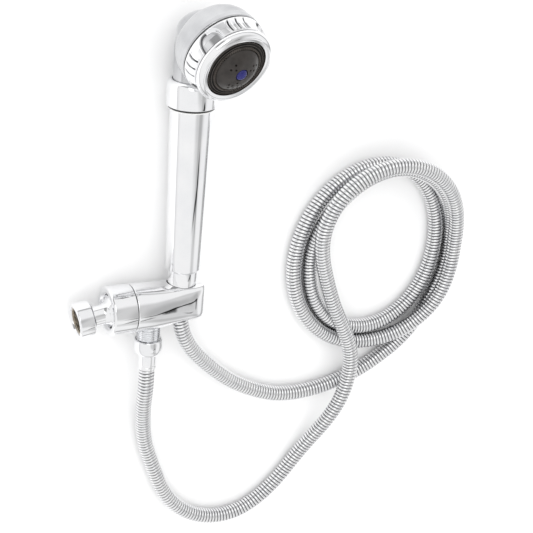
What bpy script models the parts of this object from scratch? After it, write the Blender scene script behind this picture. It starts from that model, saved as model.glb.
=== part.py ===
"""Handheld bath sprayer with its shower-arm bracket and metal hose, lying on its back.

+X runs along the bracket from the wall nut to the cradle, +Y along the handle towards the
spray head, +Z up.  The spray face looks up and the collars rest on Z = 0.  Profiles and
places are written in millimetres and scaled by MM as each mesh is made.
"""
import math

import bmesh
import bpy
import numpy as np
from mathutils import Matrix, Vector

MM = 0.001
GAP = 0.3

# Where the crossing of the bracket axis and the handle axis lies in the part's frame.
ORIGIN_X = 28.1
ORIGIN_Y = -115.65
AXIS_HEIGHT = 21.5

# Handset.
HANDSET_TWIST = math.radians(10)
SPRAY_LEAN = math.radians(22.5)
HANDLE_BOTTOM = 31.6
HANDLE_SEAM = 178.3
HANDLE_BOTTOM_RADIUS = 15.3
HANDLE_TOP_RADIUS = 18.1
COLLAR_RADIUS = 21.5
COLLAR_TOP = 201.0
NECK_RADIUS = 16.6
SPRAY_CORNER = 250.2
BELL_RADIUS = 36.0
BELL_FRONT = 43.7
BEZEL_RADIUS = 33.6
DETENT_REACH = 33.3
DIAL_SCALLOPS = 4

# Bracket.
BRACKET_RADIUS = 21.5
BRACKET_SEAM = -47.3
COLLAR_FACE = 69.0
BALL_X = -58.0
BALL_RADIUS = 15.2
STEM_DROOP = math.radians(8)
CRADLE_BOTTOM = -13.0
CRADLE_TOP = 19.5
SLOT_HALF_WIDTH = 7.9
CONE_BOTTOM = -6.0
CONE_BOTTOM_RADIUS = 11.0
CONE_TOP = 24.0
CONE_TOP_RADIUS = 13.2
OUTLET_X = -29.5

# Hose.
HOSE_RADIUS = 7.2
OUTLET_STRETCH = (
    (-29.5, -60.5, 21.5), (-29.5, -80, 20.8), (-29.2, -98, 17.5), (-26.5, -122, 11.5),
    (-22, -146, 7.9), (-14, -170, 7.2), (1, -205, 7.2), (22, -228, 7.2), (50, -240, 7.2),
    (77, -239, 7.2), (101, -227, 7.2), (122, -207, 7.2), (141, -181, 9.5), (157, -155, 16.5),
    (169.5, -130, 21.3), (176.5, -107, 22), (177.5, -85, 22), (172, -63.5, 22.2),
    (162, -42.5, 22.2), (152, -21.5, 22.2), (144, 0, 22.4))
HANDSET_STRETCH = (
    (240, -79, 7.2), (220, -93.5, 7.2), (200, -104.5, 7.2), (180, -112, 7.2),
    (158, -117.5, 7.2), (136, -119.5, 7.2), (112, -118, 7.4), (88, -110, 8.2), (64, -97, 10),
    (43, -80.5, 12.8),
    (27.5, -65.5, 15.9), (15.2, -51.5, 18.6), (6.4, -37.5, 20.5), (1.5, -24, 21.4),
    (0, -13, 21.5), (0, -7.3, 21.5))
COIL_CENTRE = (205.0, 20.0)
COIL_STEP = 1 / 8
COIL_POINTS_A_TURN = 16
# One radius and one height for each eighth of a turn, from the left side of the first turn.
COIL_RADII = (66.5, 86, 90.5, 80, 72, 82, 94, 94.5, 88, 85.5, 82.5, 69, 60.5, 67, 79, 79.5,
              72, 76, 82.5, 79, 76, 87)
COIL_HEIGHTS = (23, 31, 36, 32.5, 24, 21.8, 10.2, 7.3, 7.2, 7.2, 7.2, 7.2, 7.2, 7.2, 7.2, 7.2,
                7.8, 18.5, 21.8, 18.5, 8.5, 7.2)
COIL_FIRST_TURN = 0.25
COIL_SIDES = 36
EXIT_STEP = 5.0
RUN_STEP = 26.0
RUN_STOP_RADIUS = 88.0

# Sides of a turned piece: outside, inside, and small.
OUTER_SIDES = 36
INNER_SIDES = 24
SMALL_SIDES = 16
CASTING_SIDES = 28

CHROME = ((0.80, 0.81, 0.83, 1), 1.0, 0.08)
BRASS = ((0.70, 0.52, 0.26, 1), 1.0, 0.25)
STEEL = ((0.62, 0.63, 0.65, 1), 1.0, 0.25)
BLACK_RUBBER = ((0.02, 0.02, 0.02, 1), 0.0, 0.6)
BLACK_PLASTIC = ((0.015, 0.015, 0.015, 1), 0.0, 0.3)
DARK_PLASTIC = ((0.05, 0.05, 0.055, 1), 0.0, 0.4)
BLUE_PLASTIC = ((0.05, 0.06, 0.30, 1), 0.0, 0.3)
WHITE_PLASTIC = ((0.75, 0.75, 0.73, 1), 0.0, 0.4)


# ---------------------------------------------------------------- scene helpers

def clear_scene():
    for old in list(bpy.data.objects):
        bpy.data.objects.remove(old, do_unlink=True)


def new_collection(name):
    group = bpy.data.collections.new(name)
    bpy.context.scene.collection.children.link(group)
    return group


def new_material(name, finish):
    colour, metallic, roughness = finish
    mat = bpy.data.materials.new(name)
    mat.use_nodes = True
    shader = mat.node_tree.nodes["Principled BSDF"]
    shader.inputs["Base Color"].default_value = colour
    shader.inputs["Metallic"].default_value = metallic
    shader.inputs["Roughness"].default_value = roughness
    return mat


clear_scene()
PARTS = new_collection("handheld_bath_sprayer")
CUTTERS = new_collection("cutters")


def add_empty(name, location, rotation=(0, 0, 0), parent=None):
    empty = bpy.data.objects.new(name, None)
    empty.location = Vector(location) * MM
    empty.rotation_euler = rotation
    empty.parent = parent
    PARTS.objects.link(empty)
    return empty


def add_part(name, mesh, finish, parent):
    part = bpy.data.objects.new(name, mesh)
    part.parent = parent
    part.data.materials.append(new_material(name, finish))
    mesh.shade_smooth()
    mesh.set_sharp_from_angle(angle=math.radians(35))
    PARTS.objects.link(part)
    return part


def add_cutter(name, mesh, parent):
    cutter = bpy.data.objects.new(name, mesh)
    cutter.parent = parent
    cutter.hide_render = True
    cutter.display_type = "WIRE"
    CUTTERS.objects.link(cutter)
    return cutter


def apply_boolean(part, other, operation, solver="EXACT"):
    step = part.modifiers.new(other.name, "BOOLEAN")
    step.operation = operation
    step.solver = solver
    step.object = other


# ---------------------------------------------------------------- mesh helpers

def profile_mesh(name, outer, inner=None):
    """Mesh of a profile to be turned: outer side from top to bottom, then the bore upwards."""
    mesh = bpy.data.meshes.new(name)
    points = list(outer) + list(inner or ())
    verts = [(r * MM, 0, z * MM) for r, z in points]
    edges = [(i, i + 1) for i in range(len(points) - 1)]
    if inner:
        edges.append((len(points) - 1, 0))
    mesh.from_pydata(verts, edges, [])
    return mesh


def add_screw(obj, segments):
    turn = obj.modifiers.new("turn", "SCREW")
    turn.steps = segments
    turn.render_steps = segments
    turn.use_merge_vertices = True
    turn.merge_threshold = 0.00001


def turned(name, finish, parent, outer, inner=None, segments=INNER_SIDES):
    part = add_part(name, profile_mesh(name, outer, inner), finish, parent)
    add_screw(part, segments)
    return part


def turned_cutter(name, parent, outer, inner=None, segments=INNER_SIDES):
    cutter = add_cutter(name, profile_mesh(name, outer, inner), parent)
    add_screw(cutter, segments)
    return cutter


def cylinder_mesh(name, radius, bottom, top, centre=(0, 0), sides=6):
    """Plain cylinder along Z, used for drilled holes."""
    mesh = bpy.data.meshes.new(name)
    bm = bmesh.new()
    bmesh.ops.create_cone(bm, cap_ends=True, segments=sides, radius1=radius * MM,
                          radius2=radius * MM, depth=(top - bottom) * MM)
    middle = Vector((centre[0], centre[1], (top + bottom) / 2)) * MM
    bmesh.ops.translate(bm, verts=bm.verts, vec=middle)
    bm.to_mesh(mesh)
    bm.free()
    return mesh


def box_mesh(name, low, high):
    mesh = bpy.data.meshes.new(name)
    bm = bmesh.new()
    bmesh.ops.create_cube(bm, size=1)
    size = Vector(high) - Vector(low)
    bmesh.ops.scale(bm, vec=size * MM, verts=bm.verts)
    bmesh.ops.translate(bm, vec=(Vector(low) + size / 2) * MM, verts=bm.verts)
    bm.to_mesh(mesh)
    bm.free()
    return mesh


def loft_mesh(name, rings):
    """Closed skin over a list of rings, each a list of the same number of points."""
    count = len(rings[0])
    verts = [Vector(point) * MM for ring in rings for point in ring]
    faces = [tuple(reversed(range(count)))]
    for r in range(len(rings) - 1):
        for i in range(count):
            a = r * count + i
            b = r * count + (i + 1) % count
            faces.append((a, b, b + count, a + count))
    last = (len(rings) - 1) * count
    faces.append(tuple(range(last, last + count)))
    mesh = bpy.data.meshes.new(name)
    mesh.from_pydata(verts, [], faces)
    bm = bmesh.new()
    bm.from_mesh(mesh)
    bmesh.ops.recalc_face_normals(bm, faces=bm.faces)
    bm.to_mesh(mesh)
    bm.free()
    return mesh


def wire_curve(name, points, radius, resolution):
    curve = bpy.data.curves.new(name, "CURVE")
    curve.dimensions = "3D"
    curve.bevel_depth = radius * MM
    curve.bevel_resolution = resolution
    curve.use_fill_caps = True
    spline = curve.splines.new("POLY")
    spline.points.add(len(points) - 1)
    for spot, point in zip(spline.points, points):
        spot.co = (point[0] * MM, point[1] * MM, point[2] * MM, 1)
    return curve


def curve_to_mesh(name, curve):
    """The curve's tube as a mesh with its caps welded on."""
    holder = bpy.data.objects.new(name + "_curve", curve)
    CUTTERS.objects.link(holder)
    bpy.context.view_layer.update()
    evaluated = holder.evaluated_get(bpy.context.evaluated_depsgraph_get())
    mesh = bpy.data.meshes.new_from_object(evaluated)
    bpy.data.objects.remove(holder)
    bm = bmesh.new()
    bm.from_mesh(mesh)
    bmesh.ops.remove_doubles(bm, verts=bm.verts, dist=0.00001)
    bmesh.ops.recalc_face_normals(bm, faces=bm.faces)
    bm.to_mesh(mesh)
    bm.free()
    return mesh


def helix(radius, bottom, top, turns, points_a_turn=8):
    count = int(turns * points_a_turn)
    points = []
    for i in range(count + 1):
        angle = 2 * math.pi * i / points_a_turn
        height = bottom + (top - bottom) * i / count
        points.append((radius * math.cos(angle), radius * math.sin(angle), height))
    return points


def add_spring(name, parent, radius, wire, bottom, top, turns):
    curve = wire_curve(name, helix(radius, bottom, top, turns), wire, 0)
    return add_part(name, curve_to_mesh(name, curve), STEEL, parent)


# ---------------------------------------------------------------- smooth curves

def spline_bends(places, values):
    """Second derivatives of the natural cubic spline through values at places."""
    count = len(places)
    gaps = np.diff(places)
    system = np.eye(count)
    right = np.zeros_like(values)
    for i in range(1, count - 1):
        system[i, i - 1] = gaps[i - 1]
        system[i, i] = 2 * (gaps[i - 1] + gaps[i])
        system[i, i + 1] = gaps[i]
        after = (values[i + 1] - values[i]) / gaps[i]
        before = (values[i] - values[i - 1]) / gaps[i - 1]
        right[i] = 6 * (after - before)
    return np.linalg.solve(system, right)


def smooth_curve(places, values):
    """A function of place that runs smoothly through the given values."""
    places = np.array(places, float)
    values = np.array(values, float)
    bends = spline_bends(places, values)

    def at(place):
        i = int(np.clip(np.searchsorted(places, place) - 1, 0, len(places) - 2))
        gap = places[i + 1] - places[i]
        a = (places[i + 1] - place) / gap
        b = (place - places[i]) / gap
        bend = (a ** 3 - a) * bends[i] + (b ** 3 - b) * bends[i + 1]
        return a * values[i] + b * values[i + 1] + bend * gap ** 2 / 6

    return at


def smooth_path(points):
    """Smooth space curve through the points, with the length along its chords."""
    points = np.array(points, float)
    chords = np.linalg.norm(np.diff(points, axis=0), axis=1)
    places = np.concatenate([[0], np.cumsum(chords)])
    return smooth_curve(places, points), places[-1]


def coil_points():
    """Centre points of the hose's coil, clockwise from its left side."""
    knots = COIL_FIRST_TURN + COIL_STEP * np.arange(len(COIL_RADII))
    radius_at = smooth_curve(knots, COIL_RADII)
    height_at = smooth_curve(knots, COIL_HEIGHTS)
    turns = knots[-1] - knots[0]
    count = int(turns * COIL_POINTS_A_TURN)
    points = []
    for i in range(1, count + 1):
        turn = knots[0] + turns * i / count
        angle = 2 * math.pi * turn
        x = COIL_CENTRE[0] - radius_at(turn) * math.sin(angle)
        y = COIL_CENTRE[1] - radius_at(turn) * math.cos(angle)
        points.append((x, y, max(float(height_at(turn)), HOSE_RADIUS)))
    return points


# ---------------------------------------------------------------- frames

ROOT = add_empty("part_frame", (ORIGIN_X, ORIGIN_Y, 0))
BRACKET_FRAME = add_empty("bracket_frame", (0, 0, AXIS_HEIGHT), parent=ROOT)
# Turned pieces of the bracket have their local Z along -X, away from the cradle.
BRACKET_TURN_FRAME = add_empty("bracket_turn_frame", (0, 0, 0), (0, -math.pi / 2, 0),
                               BRACKET_FRAME)
INLET_FRAME = add_empty("inlet_frame", (BALL_X, 0, 0), (0, -math.pi / 2, STEM_DROOP),
                        BRACKET_FRAME)
OUTLET_FRAME = add_empty("outlet_frame", (OUTLET_X, 0, 0), (math.pi / 2, 0, 0), BRACKET_FRAME)
TWIST_FRAME = add_empty("twist_frame", (0, 0, AXIS_HEIGHT), (0, HANDSET_TWIST, 0), ROOT)
# Local Z runs up the handle (+Y); local Y points down to the floor.
HANDLE_FRAME = add_empty("handle_frame", (0, 0, 0), (-math.pi / 2, 0, 0), TWIST_FRAME)
SPRAY_FRAME = add_empty("spray_frame", (0, SPRAY_CORNER, 0), (SPRAY_LEAN, 0, 0), TWIST_FRAME)
CRADLE_FRAME = add_empty("cradle_frame", (0, 0, 0), (-math.pi / 2, 0, 0), BRACKET_FRAME)
DETENT_FRAME = add_empty("detent_frame", (0, DETENT_REACH, 0), (0, 0, 0), SPRAY_FRAME)


# ---------------------------------------------------------------- bracket

def ring_of_holes(part, frame, name, count, radius, spot_radius, low, high):
    for i in range(count):
        angle = 2 * math.pi * i / count
        spot = (spot_radius * math.cos(angle), spot_radius * math.sin(angle))
        hole = add_cutter("%s_%d" % (name, i + 1),
                          cylinder_mesh(name, radius, low, high, spot), frame)
        apply_boolean(part, hole, "DIFFERENCE")


def cone_radius(height):
    """Outer radius of the hose's cone nut at a height along the handle axis."""
    share = (height - CONE_BOTTOM) / (CONE_TOP - CONE_BOTTOM)
    return CONE_BOTTOM_RADIUS + share * (CONE_TOP_RADIUS - CONE_BOTTOM_RADIUS)


def body_section(x, low, high, half_depth, power, sides=CASTING_SIDES):
    """Rounded section of the bracket body across X: low and high along Y, half_depth in Z."""
    ring = []
    for i in range(sides):
        angle = 2 * math.pi * i / sides
        c = math.cos(angle)
        s = math.sin(angle)
        y = math.copysign(abs(c) ** (2 / power), c)
        z = math.copysign(abs(s) ** (2 / power), s)
        ring.append((x, (high + low) / 2 + y * (high - low) / 2, z * half_depth))
    return ring


def make_bracket_body():
    sections = (
        (BRACKET_SEAM, -BRACKET_RADIUS, BRACKET_RADIUS, BRACKET_RADIUS, 2.0),
        (-42, -21.5, 21.4, 21.5, 2.0), (-36, -21.2, 20.9, 21.3, 2.05),
        (-30, -20.6, 20.3, 20.9, 2.15), (-24, -19.6, 19.8, 20.3, 2.3),
        (-18, -18.4, 19.4, 19.6, 2.5), (-12, -17.0, 19.3, 18.9, 2.8),
        (-6, -15.6, 19.4, 18.4, 3.2), (0, -14.4, CRADLE_TOP, 18.1, 3.6),
        (6, -13.6, CRADLE_TOP, 17.8, 4.0), (11, -13.2, CRADLE_TOP, 16.7, 4.4),
        (14, CRADLE_BOTTOM, CRADLE_TOP, 15.0, 4.8), (16, CRADLE_BOTTOM, CRADLE_TOP, 13.0, 5.0),
        (17.6, CRADLE_BOTTOM, CRADLE_TOP, 10.2, 5.0))
    rings = [body_section(*section) for section in sections]
    body = add_part("bracket_body", loft_mesh("bracket_body", rings), CHROME, BRACKET_FRAME)
    spigot = turned_cutter("collar_spigot", BRACKET_TURN_FRAME, (
        (0, 57), (18.3, 57), (18.3, 45), (0, 45)))
    apply_boolean(body, spigot, "UNION")
    wide = cone_radius(CRADLE_TOP + 2) + 0.35
    tight = cone_radius(CRADLE_BOTTOM - 7) + 0.35
    cone_bore = turned_cutter("cradle_bore", CRADLE_FRAME, (
        (0, CRADLE_TOP + 2), (wide, CRADLE_TOP + 2), (tight, CRADLE_BOTTOM - 7),
        (0, CRADLE_BOTTOM - 7)), segments=CASTING_SIDES)
    slot = add_cutter("cradle_slot", box_mesh("cradle_slot", (1.3, -30, -SLOT_HALF_WIDTH),
                                              (30, 30, SLOT_HALF_WIDTH)), BRACKET_FRAME)
    pocket = turned_cutter("ball_pocket", BRACKET_TURN_FRAME, (
        (0, 58), (15.8, 58), (15.8, 41), (7, 41), (7, 27.5), (0, 27.5)))
    drop = turned_cutter("outlet_bore", OUTLET_FRAME, (
        (0, 30), (10.7, 30), (10.7, 14), (6.2, 14), (6.2, -3), (0, -3)))
    for cutter in (cone_bore, slot, pocket, drop):
        apply_boolean(body, cutter, "DIFFERENCE", "MANIFOLD")


def sphere_arc(radius, start, end, steps):
    """Profile points of a ball, by angle from the top of its axis in degrees."""
    points = []
    for i in range(steps + 1):
        angle = math.radians(start + (end - start) * i / steps)
        points.append((radius * math.sin(angle), radius * math.cos(angle)))
    return points


def make_swivel_collar():
    turned("swivel_collar", CHROME, BRACKET_TURN_FRAME, (
        (16.2, COLLAR_FACE), (20.2, COLLAR_FACE), (21.1, COLLAR_FACE - 0.6),
        (BRACKET_RADIUS, COLLAR_FACE - 1.8), (BRACKET_RADIUS, 48.2),
        (21.1, -BRACKET_SEAM + GAP)), (
        (18.7, -BRACKET_SEAM + GAP), (18.7, 61.0), (15.5, 61.0), (14.1, 64.5), (14.6, 67.6)),
        OUTER_SIDES)


def make_ball_seat():
    reach = BALL_RADIUS + GAP
    face = [(r, -BALL_X + z) for r, z in sphere_arc(reach, 118, 148.9, 4)]
    outer = [(15.5, face[0][1]), (15.5, 41.3)]
    inner = [(face[-1][0], 41.3)] + list(reversed(face))
    turned("ball_seat", WHITE_PLASTIC, BRACKET_TURN_FRAME, outer, inner)
    turned("ball_seal", BLACK_RUBBER, BRACKET_TURN_FRAME,
           ((18.0, 60.3), (18.0, 58.3)), ((16.2, 58.3), (16.2, 60.3)), SMALL_SIDES)


def make_ball_stem():
    neck = 8.8
    start = math.degrees(math.asin(neck / BALL_RADIUS))
    ball = sphere_arc(BALL_RADIUS, start, 158, 9)
    outer = [(10.3, 30.0), (10.3, 27.9), (neck, 27.7), (neck, 15.6), (neck + 0.1, 13.2)]
    bore = ball[-1][0]
    turned("ball_stem", CHROME, INLET_FRAME, outer + ball[1:], ((bore, 30.0),))


def make_inlet_nut():
    turned("inlet_nut", CHROME, INLET_FRAME, (
        (12.6, 39.3), (14.8, 39.3), (15.8, 38.3), (15.8, 26.4), (14.2, 24.8), (9.6, 24.6)), (
        (9.2, 25.0), (9.2, 27.5), (10.7, 27.5), (10.7, 37.6)), CASTING_SIDES)
    turned("inlet_washer", BLACK_RUBBER, INLET_FRAME,
           ((10.4, 32.6), (10.4, 30.3)), ((6.9, 30.3), (6.9, 32.6)), SMALL_SIDES)
    screen = turned("inlet_screen", STEEL, INLET_FRAME,
                    ((0, 31.4), (6.5, 31.4), (6.5, 30.6), (0, 30.6)), None, SMALL_SIDES)
    ring_of_holes(screen, INLET_FRAME, "screen_hole", 5, 1.2, 3.9, 29, 33)


def make_outlet():
    turned("outlet_nipple", CHROME, OUTLET_FRAME, (
        (9.8, 39.8), (10.3, 39.3), (10.3, 15.0), (9.8, 14.3)), (
        (6.6, 14.3), (6.6, 18.0), (7.6, 18.0), (7.6, 39.8)))
    turned("check_valve_seat", WHITE_PLASTIC, OUTLET_FRAME,
           ((7.3, 22.0), (7.3, 18.4)), ((4.4, 18.4), (4.4, 20.6), (5.4, 22.0)), SMALL_SIDES)
    turned("check_valve_poppet", BLACK_PLASTIC, OUTLET_FRAME, (
        (0, 36.0), (1.2, 36.0), (1.2, 25.2), (6.0, 25.0), (6.0, 24.0), (5.0, 22.3),
        (0, 22.3)), None, SMALL_SIDES)
    add_spring("check_valve_spring", OUTLET_FRAME, 3.6, 0.35, 27.6, 33.9, 3)
    turned("check_valve_guide", WHITE_PLASTIC, OUTLET_FRAME,
           ((7.3, 38.6), (7.3, 34.6), (3.6, 34.6)), ((1.6, 34.6), (1.6, 36.4), (5.6, 38.6)),
           SMALL_SIDES)


def make_outlet_hose_end():
    turned("outlet_hose_washer", BLACK_RUBBER, OUTLET_FRAME,
           ((10.0, 41.6), (10.0, 40.1)), ((6.0, 40.1), (6.0, 41.6)), SMALL_SIDES)
    turned("outlet_ferrule", CHROME, OUTLET_FRAME, (
        (7.4, 60.2), (7.8, 59.6), (7.8, 43.5), (10.1, 43.4), (10.1, 41.9)), (
        (5.6, 41.9), (5.6, 60.2)))
    turned("outlet_hose_nut", CHROME, OUTLET_FRAME, (
        (8.1, 46.0), (9.6, 45.7), (11.4, 44.0), (12.5, 41.4), (12.8, 38.2), (12.6, 34.6),
        (12.1, 31.6)), (
        (10.7, 31.3), (10.7, 43.7), (8.1, 43.7)), CASTING_SIDES)


# ---------------------------------------------------------------- handset

def make_handle():
    wall = 1.6
    turned("handle_tube", CHROME, HANDLE_FRAME, (
        (16.4, 188.6), (16.4, 177.2), (HANDLE_TOP_RADIUS, 176.8),
        (HANDLE_BOTTOM_RADIUS, HANDLE_BOTTOM + 1.4), (HANDLE_BOTTOM_RADIUS - 0.8, HANDLE_BOTTOM)), (
        (12.4, HANDLE_BOTTOM), (12.4, 35.2), (HANDLE_BOTTOM_RADIUS - wall, 35.8),
        (16.4 - wall, 176.0), (16.4 - wall, 188.6)), CASTING_SIDES)
    turned("handle_trim_ring", WHITE_PLASTIC, HANDLE_FRAME,
           ((19.0, HANDLE_SEAM), (19.4, 177.9), (18.9, 177.2)),
           ((16.8, 177.2), (16.8, HANDLE_SEAM)), CASTING_SIDES)
    turned("handle_collar", CHROME, HANDLE_FRAME, (
        (17.2, COLLAR_TOP), (18.6, COLLAR_TOP - 0.3), (20.4, 199.4), (21.3, 197.4),
        (COLLAR_RADIUS, 195.0), (COLLAR_RADIUS, 179.4), (21.1, HANDLE_SEAM + GAP)), (
        (16.9, HANDLE_SEAM + GAP), (16.9, COLLAR_TOP - 1)), OUTER_SIDES)
    turned("neck_o_ring", BLACK_RUBBER, HANDLE_FRAME,
           ((16.5, 191.0), (16.5, 189.0)), ((14.4, 189.0), (14.4, 191.0)), SMALL_SIDES)
    turned("water_tube", WHITE_PLASTIC, HANDLE_FRAME,
           ((8.6, 186.0), (8.6, 46.4)), ((7.2, 46.4), (7.2, 186.0)), SMALL_SIDES)
    turned("tail_fitting", BRASS, HANDLE_FRAME, (
        (12.9, 46.0), (12.9, 36.2), (12.0, 35.6), (12.0, 31.8), (10.1, 31.6), (10.1, 13.8)), (
        (6.4, 13.8), (6.4, 46.0)), SMALL_SIDES)


def elbow_ring(angle, half_height, half_width, sides=CASTING_SIDES):
    """Section of the elbow in the plane turned by angle about the crotch of the bend."""
    crotch = Vector((0, -18.0, 228.0))
    away = Vector((0, math.cos(angle), math.sin(angle)))
    middle = crotch + away * (1.2 + half_height)
    ring = []
    for i in range(sides):
        turn = 2 * math.pi * i / sides
        side = Vector((1, 0, 0)) * half_width * math.sin(turn)
        ring.append(middle + away * half_height * math.cos(turn) + side)
    return ring


def make_head_shell():
    turns = [2 * math.pi * i / CASTING_SIDES for i in range(CASTING_SIDES)]
    neck = [[(NECK_RADIUS * math.sin(t), NECK_RADIUS * math.cos(t), z) for t in turns]
            for z in (191.6, 206.0)]
    bend = ((0, 16.7, 16.8), (16, 16.1, 17.3), (31, 16.1, 18.8), (45, 16.3, 20.9),
            (59, 16.4, 22.3), (73, 16.4, 23.0), (87, 16.3, 23.4), (100, 15.3, 23.6),
            (112.5, 14.2, 23.6))
    rings = neck + [elbow_ring(math.radians(a), h, w) for a, h, w in bend]
    shell = add_part("head_shell", loft_mesh("head_shell", rings), CHROME, HANDLE_FRAME)
    bell = turned_cutter("bell", SPRAY_FRAME, (
        (0, 43.4), (35.4, 43.4), (BELL_RADIUS, 42.8), (BELL_RADIUS, 37.8), (35.5, 37.0),
        (35.1, 31.4), (33.6, 26.5), (30.7, 21.5), (26.0, 17.0), (19.6, 13.6), (11.6, 12.0),
        (0, 11.6)), segments=OUTER_SIDES)
    apply_boolean(shell, bell, "UNION")
    chamber = turned_cutter("bell_chamber", SPRAY_FRAME, (
        (0, 46), (31.2, 46), (31.2, 34.0), (9.0, 34.0), (9.0, 8.0), (0, 8.0)))
    passage = turned_cutter("neck_passage", HANDLE_FRAME, (
        (0, 241), (8.6, 241), (8.6, 190), (0, 190)), segments=SMALL_SIDES)
    detent_hole = add_cutter("detent_hole", cylinder_mesh(
        "detent_hole", 1.5, 35.4, 46, sides=12), DETENT_FRAME)
    for cutter in (chamber, passage, detent_hole):
        apply_boolean(shell, cutter, "DIFFERENCE", "MANIFOLD")


def make_spray_core():
    plate = turned("valve_plate", WHITE_PLASTIC, SPRAY_FRAME, (
        (2.0, 56.0), (4.6, 56.0), (4.6, 39.0), (30.8, 39.0), (30.8, 34.4)), (
        (2.0, 34.4),))
    ring_of_holes(plate, SPRAY_FRAME, "valve_port", 4, 3.0, 18, 33, 40)
    turned("dial_o_ring", BLACK_RUBBER, SPRAY_FRAME,
           ((30.8, 41.4), (30.8, 39.3)), ((28.4, 39.3), (28.4, 41.4)))
    turned("detent_pin", BRASS, DETENT_FRAME,
           ((0, 43.7), (0.7, 43.5), (1.2, 42.8), (1.2, 40.4), (0, 40.4)), None, 12)
    add_spring("detent_spring", DETENT_FRAME, 0.85, 0.18, 35.9, 39.0, 3)


def make_turbine():
    spinner = turned("turbine", WHITE_PLASTIC, SPRAY_FRAME, (
        (19.0, 50.5), (19.0, 46.5)), ((17.4, 46.5), (17.4, 50.5)))
    hub = turned_cutter("turbine_hub", SPRAY_FRAME, ((7.0, 50.5), (7.0, 46.5)),
                        ((5.1, 46.5), (5.1, 50.5)), SMALL_SIDES)
    apply_boolean(spinner, hub, "UNION")
    for i in range(3):
        vane = add_cutter("turbine_vane_%d" % (i + 1), box_mesh(
            "turbine_vane", (6.0, -0.7, 47.0), (18.0, 0.7, 50.0)), SPRAY_FRAME)
        vane.rotation_euler = (0, 0, math.radians(120 * i + 20))
        apply_boolean(spinner, vane, "UNION")


def make_dial():
    dial = turned("dial_ring", CHROME, SPRAY_FRAME, (
        (33.2, 57.2), (33.9, 56.6), (34.9, 52.0), (35.7, 46.0), (35.7, 44.4),
        (35.3, BELL_FRONT + GAP)), (
        (29.0, BELL_FRONT + GAP), (29.0, 57.2)), 48)
    for i in range(DIAL_SCALLOPS):
        angle = math.radians(360 / DIAL_SCALLOPS * i + 48)
        spot = (38.0 * math.cos(angle), 38.0 * math.sin(angle), 0)
        frame = add_empty("scallop_frame_%d" % (i + 1), spot, (0, 0, angle), SPRAY_FRAME)
        scallop = turned_cutter("dial_scallop_%d" % (i + 1), frame, (
            (0, 55.5), (3.0, 55.2), (4.6, 53.0), (4.6, 48.5), (3.0, 46.2), (0, 45.9)),
            segments=12)
        apply_boolean(dial, scallop, "DIFFERENCE")


def make_face():
    turned("face_bezel", CHROME, SPRAY_FRAME, (
        (26.2, 64.6), (27.2, 64.9), (29.6, 64.4), (31.9, 62.9), (33.2, 60.9), (BEZEL_RADIUS, 58.9),
        (33.2, 57.5)), (
        (29.4, 57.5), (26.2, 59.5)), OUTER_SIDES)
    turned("face_ring", BLACK_RUBBER, SPRAY_FRAME, (
        (20.3, 65.6), (22.2, 65.6), (22.4, 64.5), (25.0, 64.5), (25.9, 63.5), (25.9, 60.6)), (
        (19.7, 60.6), (19.7, 65.2)), CASTING_SIDES)
    face = turned("spray_face", DARK_PLASTIC, SPRAY_FRAME, (
        (5.4, 70.9), (10.0, 70.2), (14.5, 68.8), (18.2, 66.9), (19.3, 65.4), (19.4, 60.8)), (
        (5.4, 60.8),), CASTING_SIDES)
    for cluster in range(3):
        middle = math.radians(120 * cluster + 22)
        for reach, swing in ((8.3, 0.0), (12.0, 0.22), (12.0, -0.22)):
            angle = middle + swing
            spot = (reach * math.cos(angle), reach * math.sin(angle))
            hole = add_cutter("nozzle_hole", cylinder_mesh(
                "nozzle_hole", 0.6, 59, 72, spot), SPRAY_FRAME)
            apply_boolean(face, hole, "DIFFERENCE")
    turned("face_backing", BLACK_PLASTIC, SPRAY_FRAME, (
        (28.6, 57.4), (28.6, 54.6)), ((5.4, 54.6), (5.4, 57.4)))
    turned("center_cap", BLUE_PLASTIC, SPRAY_FRAME, (
        (0, 72.6), (2.4, 72.4), (4.1, 71.6), (5.0, 70.2), (5.0, 60.5), (0, 60.5)))
    turned("center_screw", STEEL, SPRAY_FRAME, (
        (0, 60.2), (3.4, 60.0), (3.8, 58.6), (3.8, 57.8), (1.7, 57.6), (1.7, 40.0),
        (0, 40.0)), None, SMALL_SIDES)


# ---------------------------------------------------------------- hose

def make_handset_hose_end():
    turned("hose_cone_nut", CHROME, HANDLE_FRAME, (
        (12.7, HANDLE_BOTTOM - GAP), (CONE_TOP_RADIUS, 30.8), (CONE_TOP_RADIUS, CONE_TOP),
        (cone_radius(CONE_BOTTOM + 0.8), CONE_BOTTOM + 0.8), (10.3, CONE_BOTTOM)), (
        (8.0, CONE_BOTTOM), (8.0, 8.7), (10.5, 8.7), (10.5, HANDLE_BOTTOM - GAP)), CASTING_SIDES)
    turned("handset_hose_washer", BLACK_RUBBER, HANDLE_FRAME,
           ((10.0, 13.4), (10.0, 11.3)), ((6.0, 11.3), (6.0, 13.4)), SMALL_SIDES)
    turned("handset_ferrule", CHROME, HANDLE_FRAME, (
        (10.1, 11.0), (10.1, 9.1), (7.7, 9.0), (7.7, -6.4), (7.3, -7.0)), (
        (5.6, -7.0), (5.6, 11.0)))


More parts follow.
